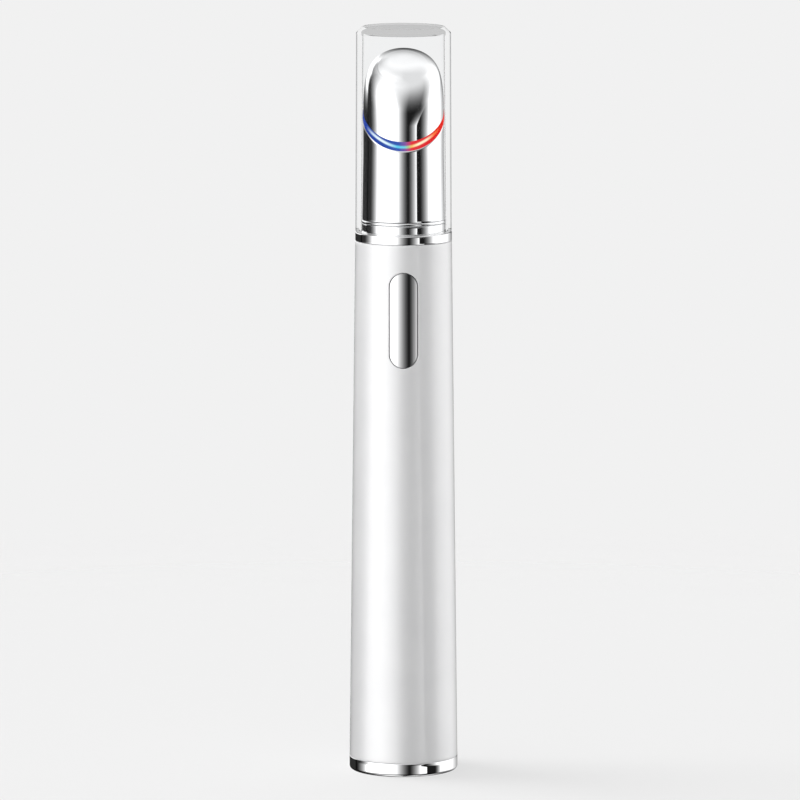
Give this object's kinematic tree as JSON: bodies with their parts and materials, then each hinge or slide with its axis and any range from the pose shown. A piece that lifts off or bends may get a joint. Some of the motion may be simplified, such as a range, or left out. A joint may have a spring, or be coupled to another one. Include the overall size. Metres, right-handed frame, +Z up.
{
  "type": "eye massager wand",
  "caption": "Slim heated eye massager wand with a slanted metal massage head, a light ring, a press button, a charging port in its foot and a clear lift-off cap.",
  "frame": {"origin": "centre of the wand's underside, on the ground", "axes": "+Z up along the wand's axis to the cap, -Y towards the button and the slanted massage face, +X to the right when looking at the button"},
  "size_m": [0.02, 0.02, 0.1375],
  "materials": {
    "chrome_trim": "mirror-polished chrome plate",
    "white_shell": "white high-gloss plastic",
    "clear_shell": "clear transparent plastic",
    "light_guide": "translucent light guide lit blue and red",
    "foot_plate": "white satin plastic",
    "seal_rubber": "black rubber",
    "frame_plastic": "white structural plastic",
    "board_laminate": "green circuit board",
    "chip_plastic": "black moulded package",
    "coil_ferrite": "dark ferrite",
    "passive_ceramic": "tan ceramic",
    "screw_steel": "zinc-plated steel",
    "port_steel": "drawn steel shell",
    "port_plastic": "black plastic",
    "contact_gold": "gold-plated contacts",
    "cell_wrap": "blue shrink-wrapped cell",
    "pad_foam": "double-sided foam tape",
    "tab_nickel": "nickel strip",
    "switch_case": "metal-covered switch case",
    "plunger_plastic": "black plastic",
    "motor_steel": "drawn motor can",
    "endcap_plastic": "natural plastic",
    "armature_copper": "wound copper coil",
    "weight_alloy": "sintered heavy alloy",
    "sleeve_rubber": "soft black rubber",
    "lamp_blue": "blue lamp",
    "lamp_red": "red lamp",
    "film_polyimide": "amber heating film",
    "cushion_silicone": "soft silicone",
    "sensor_glass": "dark sensor bead",
    "wire_red": "red silicone wire"
  },
  "bodies": {
    "root": {"base_ring": "chrome_trim", "base_seal": "seal_rubber", "base_plate": "foot_plate", "barrel": "white_shell", "collar": "chrome_trim", "neck_trim_ring": "chrome_trim", "button_bracket": "frame_plastic", "switch_body": "switch_case", "inner_frame": "frame_plastic", "main_board": "board_laminate", "board_screws": "screw_steel", "usb_shell": "port_steel", "usb_tongue": "port_plastic", "usb_contacts": "contact_gold", "charge_chip": "chip_plastic", "boost_inductor": "coil_ferrite", "control_chip": "chip_plastic", "heater_driver": "chip_plastic", "chip_passives": "passive_ceramic", "battery": "cell_wrap", "battery_pad": "pad_foam", "battery_tabs": "tab_nickel", "head_tube": "chrome_trim", "light_ring": "light_guide", "massage_head": "chrome_trim", "heater_film": "film_polyimide", "heater_cushion": "cushion_silicone", "thermistor": "sensor_glass", "led_board": "board_laminate", "blue_leds": "lamp_blue", "red_leds": "lamp_red", "motor_case": "motor_steel", "motor_endcap": "endcap_plastic", "motor_sleeve": "sleeve_rubber", "head_frame": "frame_plastic", "motor_wires": "wire_red", "head_wires": "wire_red"},
    "cap": {"clear_cap": "clear_shell"},
    "button": {"button": "chrome_trim"},
    "plunger": {"switch_plunger": "plunger_plastic"},
    "rotor": {"motor_armature": "armature_copper", "motor_shaft": "screw_steel", "eccentric_weight": "weight_alloy"}
  },
  "joints": [
    {"name": "cap_lift", "type": "slide", "parent": "root", "child": "cap", "axis": [0, 0, 1], "range_m": [0, 0.05]},
    {"name": "button_press", "type": "slide", "parent": "root", "child": "button", "axis": [0, 1, 0], "range_m": [0, 0.0004], "stiffness_N_per_m": 2000},
    {"name": "plunger_press", "type": "slide", "parent": "root", "child": "plunger", "axis": [0, 1, 0], "range_m": [0, 0.0004]},
    {"name": "motor_spin", "type": "hinge", "parent": "root", "child": "rotor", "pos_m": [0, 0, 0.108], "axis": [0, 0, 1], "continuous": true}
  ],
  "couplings": [
    {"joint": "plunger_press", "follows": "button_press", "ratio": 1}
  ]
}
